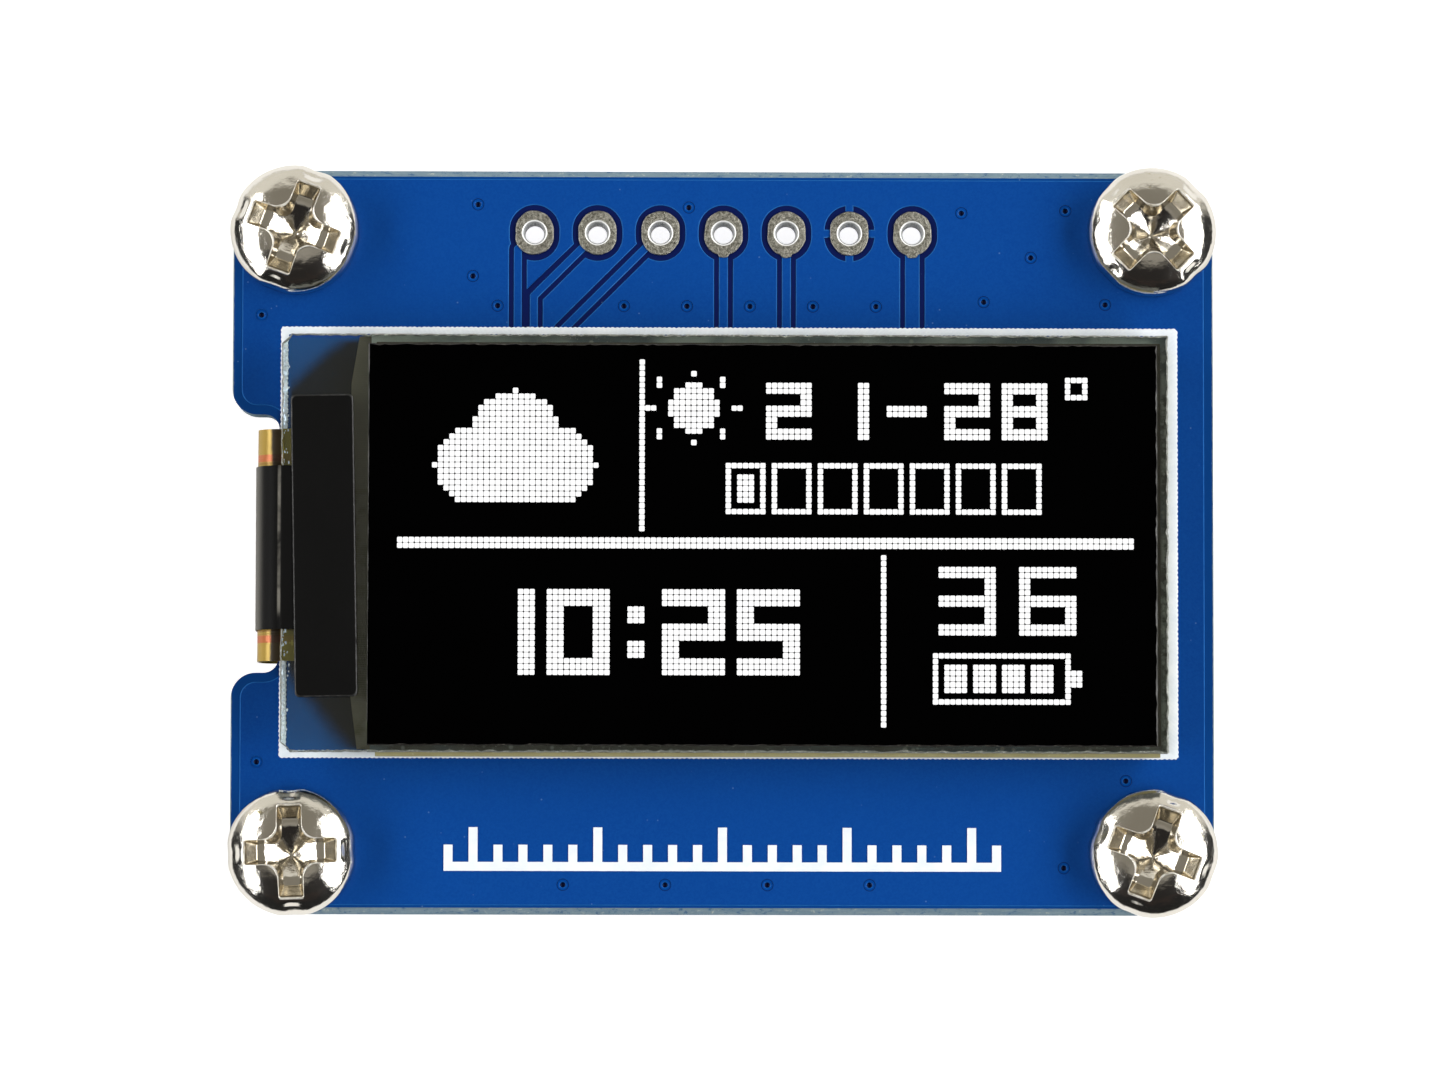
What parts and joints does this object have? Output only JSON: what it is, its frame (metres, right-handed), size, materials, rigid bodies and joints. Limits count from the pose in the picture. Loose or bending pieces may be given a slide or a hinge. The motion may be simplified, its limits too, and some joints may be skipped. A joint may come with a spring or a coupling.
{
  "type": "small oled display module",
  "caption": "Small graphic display module: a lit glass panel with a folded flex tail on a notched blue circuit board, with a row of header holes and screwed hexagonal standoffs.",
  "frame": {"origin": "under the middle of the board, level with the feet of the standoffs", "axes": "+X along the header row, to the right as the lit picture is read; +Y towards the header row; +Z out of the lit face"},
  "size_m": [0.0396, 0.0302, 0.0095],
  "materials": {
    "board": "blue solder mask over glass fibre laminate, slightly glossy",
    "print": "white printed ink",
    "solder": "bright tin solder",
    "adhesive": "pale foam adhesive",
    "rear_glass": "dark olive glass seen on edge",
    "seal": "cured seal line",
    "emitter": "dark thin film",
    "front_glass": "clear polished glass",
    "polariser": "black film with a soft gloss",
    "picture": "white lit cells",
    "chip": "bare silicon",
    "flex": "amber polyimide over copper",
    "tape": "black film tape with a faint sheen",
    "screw": "bright nickel plate",
    "standoff": "nickel plated brass",
    "regulator": "black moulding compound",
    "capacitor": "tan ceramic with tinned ends",
    "resistor": "black glaze with tinned ends"
  },
  "bodies": {
    "root": {"circuit_board": "board", "display_frame_print": "print", "scale_print": "print", "back_print": "print", "header_land_1": "solder", "header_land_2": "solder", "header_land_3": "solder", "header_land_4": "solder", "header_land_5": "solder", "header_land_6": "solder", "header_land_7": "solder", "flex_joints": "solder", "regulator_leads": "solder", "adhesive_pad": "adhesive", "rear_glass": "rear_glass", "edge_seal": "seal", "emitter_film": "emitter", "front_glass": "front_glass", "polariser": "polariser", "lit_picture": "picture", "driver_chip": "chip", "flex_tail": "flex", "shield_tape": "tape", "screw_top_left": "screw", "screw_top_right": "screw", "screw_bottom_left": "screw", "screw_bottom_right": "screw", "standoff_top_left": "standoff", "standoff_top_right": "standoff", "standoff_bottom_left": "standoff", "standoff_bottom_right": "standoff", "voltage_regulator": "regulator", "capacitor_1": "capacitor", "capacitor_2": "capacitor", "capacitor_3": "capacitor", "capacitor_4": "capacitor", "capacitor_5": "capacitor", "capacitor_6": "capacitor", "capacitor_7": "capacitor", "resistor_1": "resistor", "resistor_2": "resistor", "resistor_3": "resistor", "resistor_4": "resistor"}
  },
  "joints": []
}
